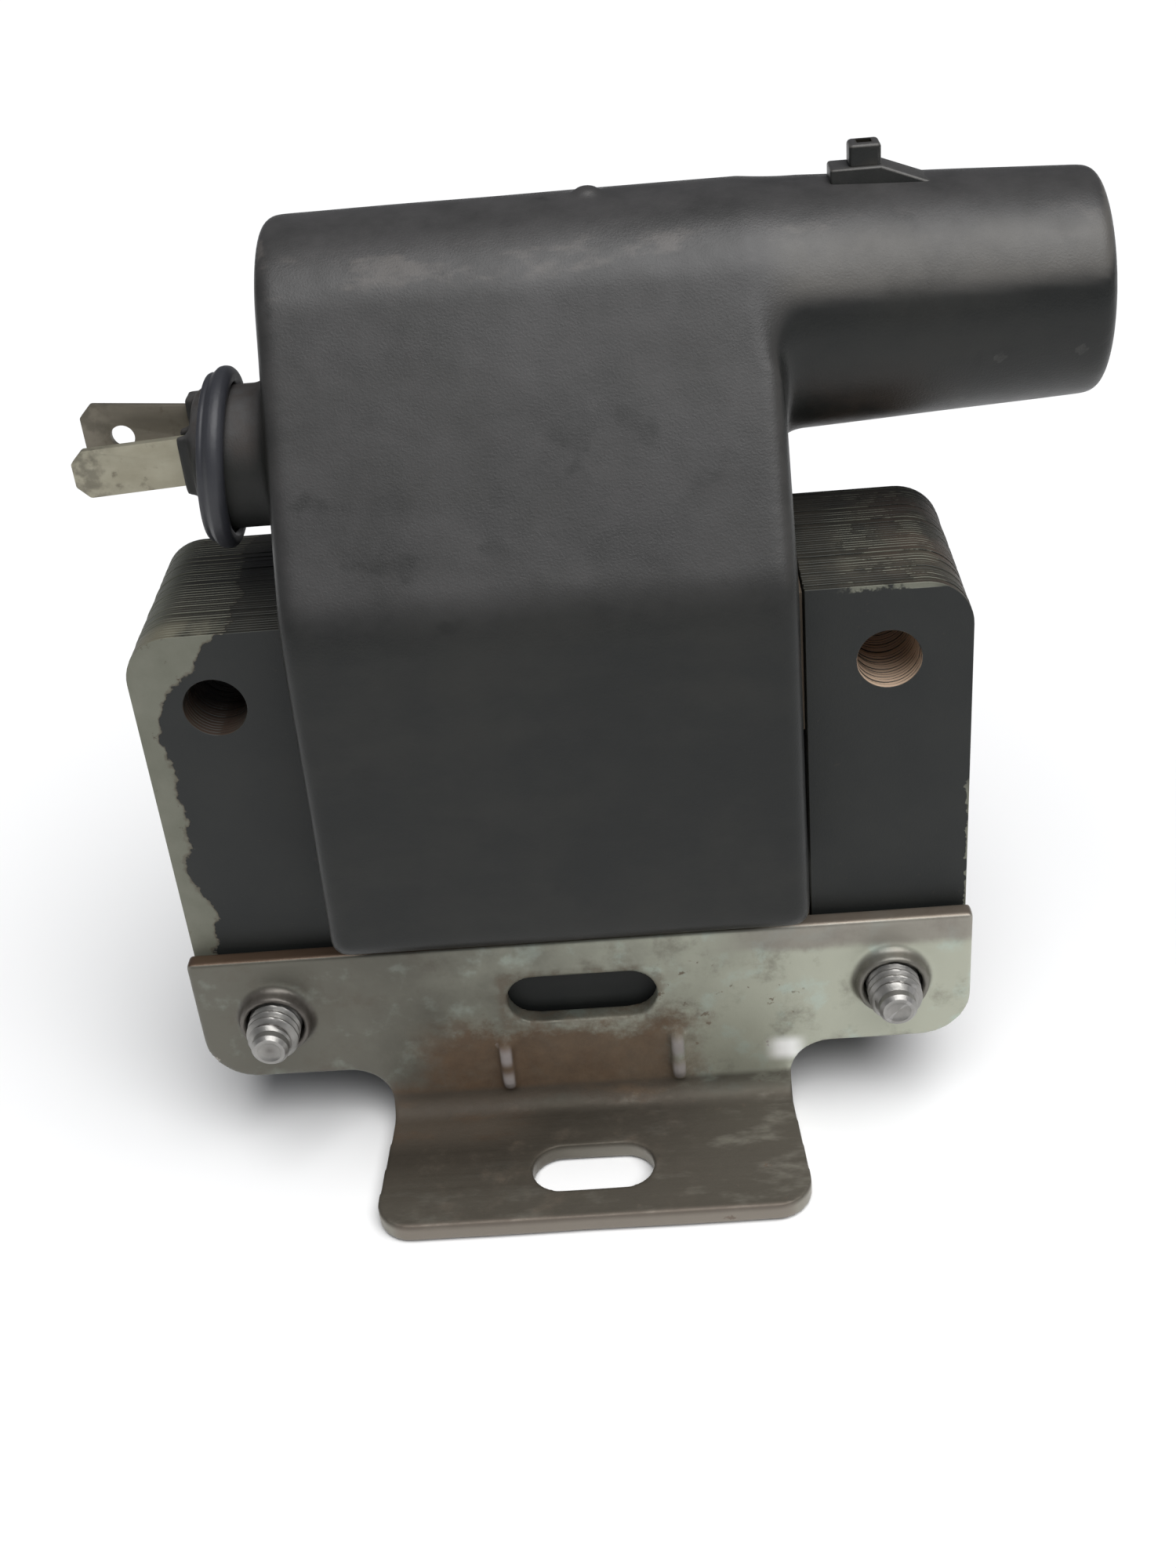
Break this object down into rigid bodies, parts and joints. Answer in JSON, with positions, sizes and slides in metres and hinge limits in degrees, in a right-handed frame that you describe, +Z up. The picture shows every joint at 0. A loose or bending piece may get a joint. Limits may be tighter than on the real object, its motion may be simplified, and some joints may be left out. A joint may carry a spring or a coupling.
{
  "type": "ignition coil",
  "caption": "Moulded ignition coil with a side high-tension tower and blade terminals, on a laminated ring core held by a bent steel bracket.",
  "frame": {"origin": "middle of the slot in the bracket's flange, on the flange's underside", "axes": "+X along the high-tension tower, +Y from the front of the coil to its back, +Z up, square to the bracket's flange"},
  "size_m": [0.0994, 0.0508, 0.1002],
  "materials": {
    "case_plastic": "matt moulded",
    "core_paint": "matt paint, worn",
    "zinc_sheet": "aged satin, some rust",
    "zinc_fastener": "aged satin",
    "tinned_brass": "stained satin",
    "brass": "satin",
    "rubber": "matt",
    "potting_resin": "semi-gloss",
    "bobbin_plastic": "semi-gloss",
    "copper": "glossy enamel",
    "shim_board": "matt"
  },
  "bodies": {
    "root": {"core_u_stack": "core_paint", "core_i_stack": "core_paint", "core_shim_upper": "shim_board", "core_shim_lower": "shim_board", "case": "case_plastic", "potting_compound": "potting_resin", "primary_bobbin": "bobbin_plastic", "secondary_bobbin": "bobbin_plastic", "primary_winding": "copper", "secondary_winding_1": "copper", "secondary_winding_2": "copper", "secondary_winding_3": "copper", "secondary_winding_4": "copper", "secondary_winding_5": "copper", "hv_lead": "copper", "primary_lead_start": "copper", "primary_lead_end": "copper", "secondary_return_lead": "copper", "hv_terminal": "brass", "terminal_blade_front": "tinned_brass", "terminal_blade_rear": "tinned_brass", "connector_seal": "rubber", "mounting_bracket": "zinc_sheet", "core_bolt_left": "zinc_fastener", "core_bolt_right": "zinc_fastener", "bolt_washer_left": "zinc_fastener", "bolt_washer_right": "zinc_fastener"}
  },
  "joints": []
}
